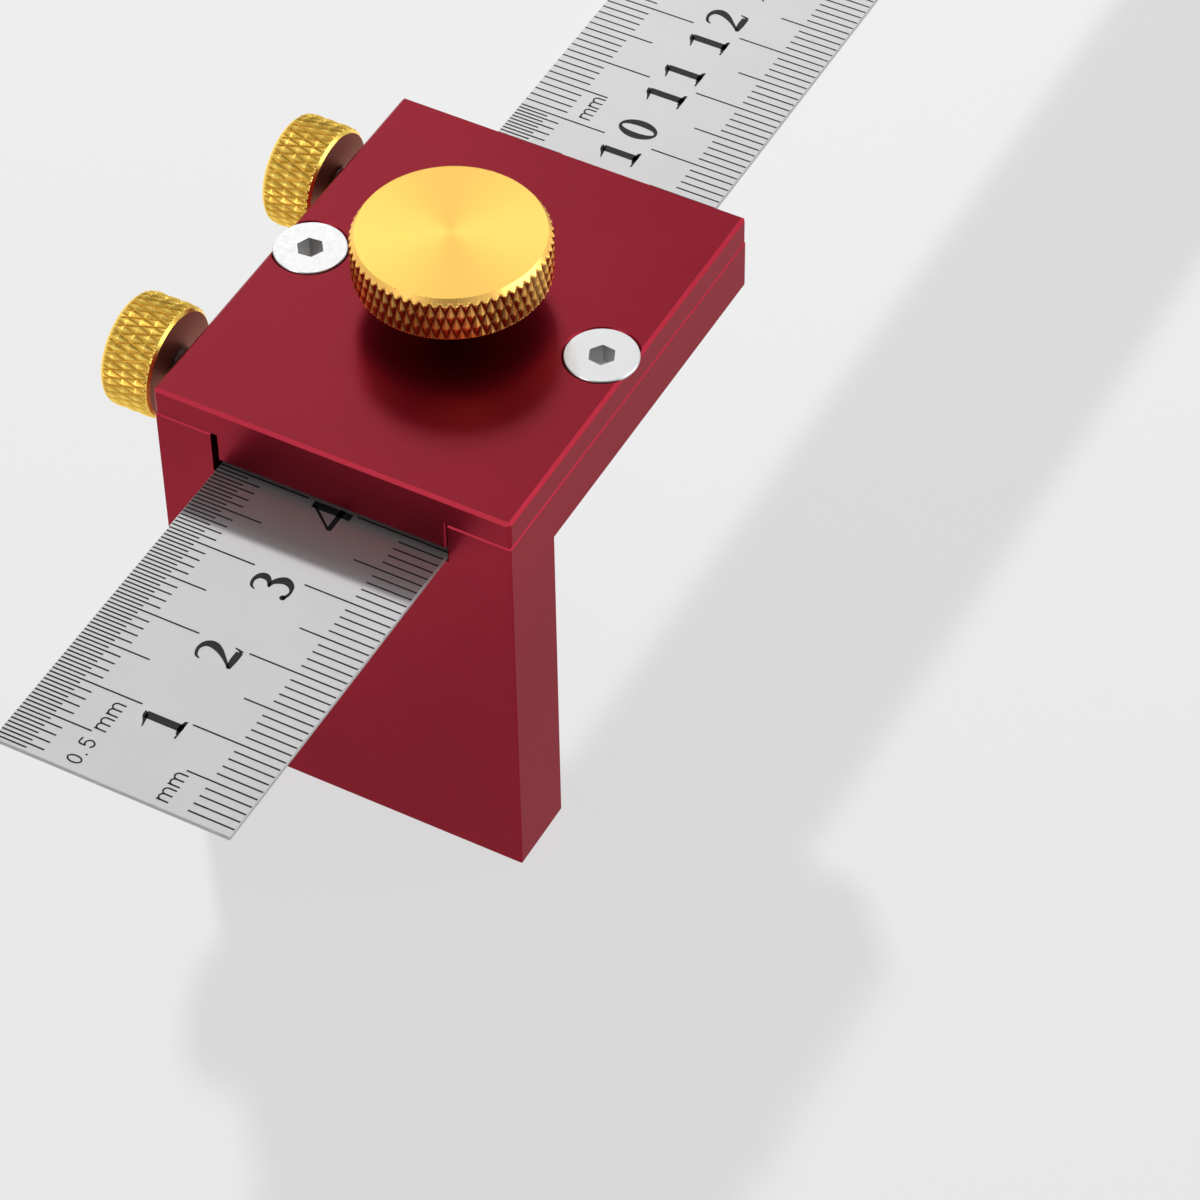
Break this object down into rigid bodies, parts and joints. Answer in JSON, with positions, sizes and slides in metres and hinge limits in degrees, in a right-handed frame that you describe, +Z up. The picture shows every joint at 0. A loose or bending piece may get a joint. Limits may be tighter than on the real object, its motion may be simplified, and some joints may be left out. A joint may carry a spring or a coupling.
{
  "type": "rule stop",
  "caption": "Steel rule that slides in an anodised block. The block's fence hooks over a board's edge, and knurled screws clamp the rule from above and from its side.",
  "frame": {"origin": "middle of the inside corner, where the plate's underside meets the fence's inner face", "axes": "+Z up through the cover, +Y along the rule away from its zero end, knobs of the side screws on -X"},
  "size_m": [0.0491, 0.325, 0.0586],
  "materials": {
    "anodised_red": "fine bead-blasted, red anodised",
    "anodised_gold": "turned and knurled, gold anodised",
    "rule_steel": "brushed along its length, with etched black marks",
    "screw_steel": "satin",
    "stud_steel": "turned and threaded",
    "pad_brass": "turned"
  },
  "bodies": {
    "block": {"block_body": "anodised_red", "cover_plate": "anodised_red", "cover_screw_left": "screw_steel", "cover_screw_right": "screw_steel"},
    "rule": {"steel_rule": "rule_steel"},
    "clamp_pad": {"clamp_pad": "pad_brass"},
    "clamp_knob": {"clamp_knob": "anodised_gold", "clamp_stud": "stud_steel"},
    "front_pad": {"front_pad": "pad_brass"},
    "front_knob": {"front_knob": "anodised_gold", "front_stud": "stud_steel"},
    "rear_pad": {"rear_pad": "pad_brass"},
    "rear_knob": {"rear_knob": "anodised_gold", "rear_stud": "stud_steel"}
  },
  "joints": [
    {"name": "rule_slide", "type": "slide", "parent": "block", "child": "rule", "axis": [0, 1, 0], "range_m": [-0.235, 0.039]},
    {"name": "clamp_travel", "type": "slide", "parent": "block", "child": "clamp_pad", "axis": [0, 0, 1], "range_m": [0, 0.0024]},
    {"name": "clamp_turn", "type": "hinge", "parent": "clamp_pad", "child": "clamp_knob", "pos_m": [0, 0.0158, 0.0139], "axis": [0, 0, 1], "range_deg": [0, 1081]},
    {"name": "front_travel", "type": "slide", "parent": "block", "child": "front_pad", "axis": [-1, 0, 0], "range_m": [0, 0.0021]},
    {"name": "front_turn", "type": "hinge", "parent": "front_pad", "child": "front_knob", "pos_m": [-0.0232, 0.0012, 0.0027], "axis": [-1, 0, 0], "range_deg": [0, 1081]},
    {"name": "rear_travel", "type": "slide", "parent": "block", "child": "rear_pad", "axis": [-1, 0, 0], "range_m": [0, 0.0021]},
    {"name": "rear_turn", "type": "hinge", "parent": "rear_pad", "child": "rear_knob", "pos_m": [-0.0232, 0.0313, 0.0027], "axis": [-1, 0, 0], "range_deg": [0, 1081]}
  ],
  "couplings": [
    {"joint": "clamp_turn", "follows": "clamp_travel", "rad_per_m": 7854},
    {"joint": "front_turn", "follows": "front_travel", "rad_per_m": 8976},
    {"joint": "rear_turn", "follows": "rear_travel", "rad_per_m": 8976}
  ]
}
